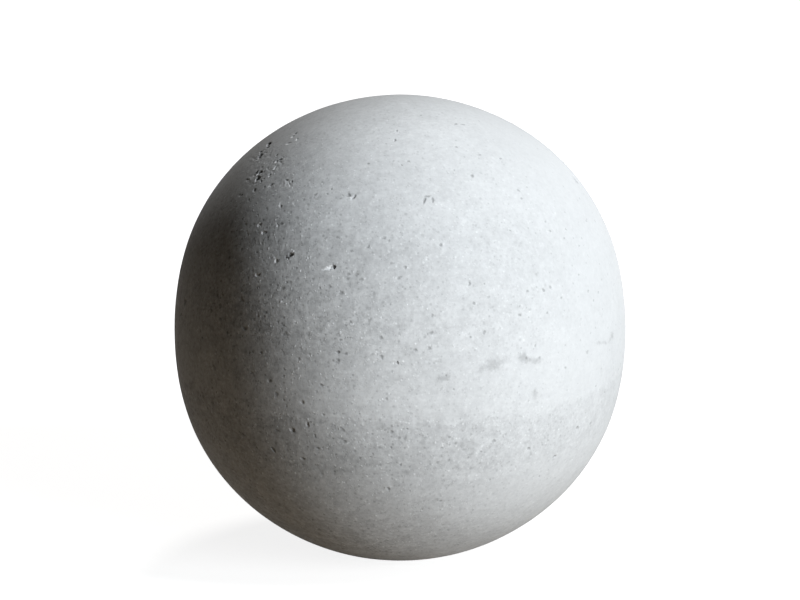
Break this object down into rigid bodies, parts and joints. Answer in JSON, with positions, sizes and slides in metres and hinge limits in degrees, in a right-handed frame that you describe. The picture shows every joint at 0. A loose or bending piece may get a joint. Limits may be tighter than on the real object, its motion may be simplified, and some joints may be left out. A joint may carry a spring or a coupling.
{
  "type": "concrete ball",
  "caption": "Solid cast concrete ball, drawn in slightly round its girth, with bug holes in its pale grey skin; a garden ornament or bollard weight.",
  "frame": {"origin": "the ball's centre, midway between its poles", "axes": "+Z through the poles, upwards, square to the girth where the mould was joined; -Y towards the side that the picture shows"},
  "size_m": [0.242, 0.242, 0.25],
  "materials": {
    "concrete": "matte"
  },
  "bodies": {
    "root": {"concrete_ball": "concrete"}
  },
  "joints": []
}
